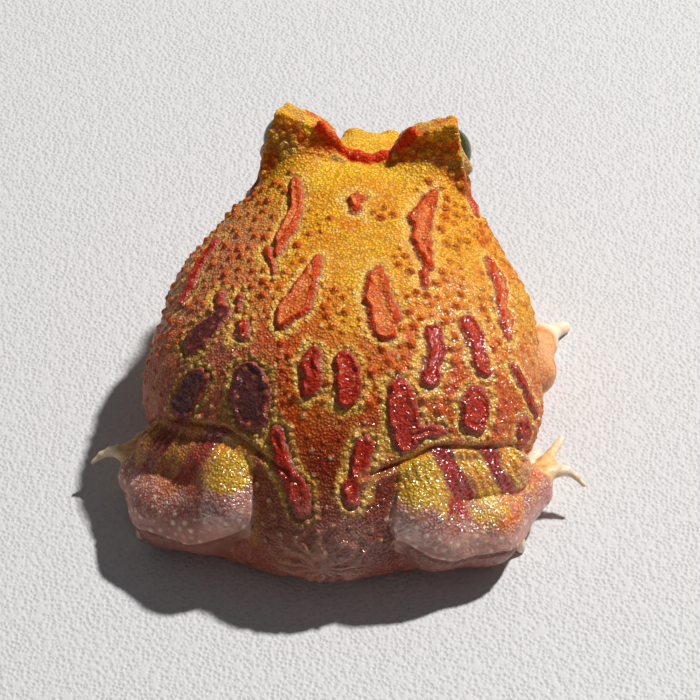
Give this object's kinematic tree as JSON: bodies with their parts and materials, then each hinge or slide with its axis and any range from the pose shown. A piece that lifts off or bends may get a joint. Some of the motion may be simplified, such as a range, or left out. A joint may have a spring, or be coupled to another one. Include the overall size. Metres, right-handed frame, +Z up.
{
  "type": "argentine horned frog, still model",
  "caption": "Life-size horned frog sitting on its belly with folded legs, tall horned eyelids and a broad mouth.",
  "frame": {"origin": "on the floor, under the middle of the frog's box", "axes": "+Z up, +Y the way the frog faces, +X its right side"},
  "size_m": [0.096, 0.0986, 0.0498],
  "materials": {
    "skin": "moist grained skin",
    "pale_skin": "moist smooth skin",
    "eye": "wet gloss"
  },
  "bodies": {
    "root": {"torso": "skin", "head": "skin", "lower_jaw": "skin", "eye_right": "eye", "eye_left": "eye", "horned_lid_right": "skin", "horned_lid_left": "skin", "thigh_right": "skin", "thigh_left": "skin", "shank_right": "skin", "shank_left": "skin", "foot_right": "pale_skin", "foot_left": "pale_skin", "upper_arm_right": "skin", "upper_arm_left": "skin", "forearm_right": "skin", "forearm_left": "skin", "hand_right": "pale_skin", "hand_left": "pale_skin"}
  },
  "joints": []
}
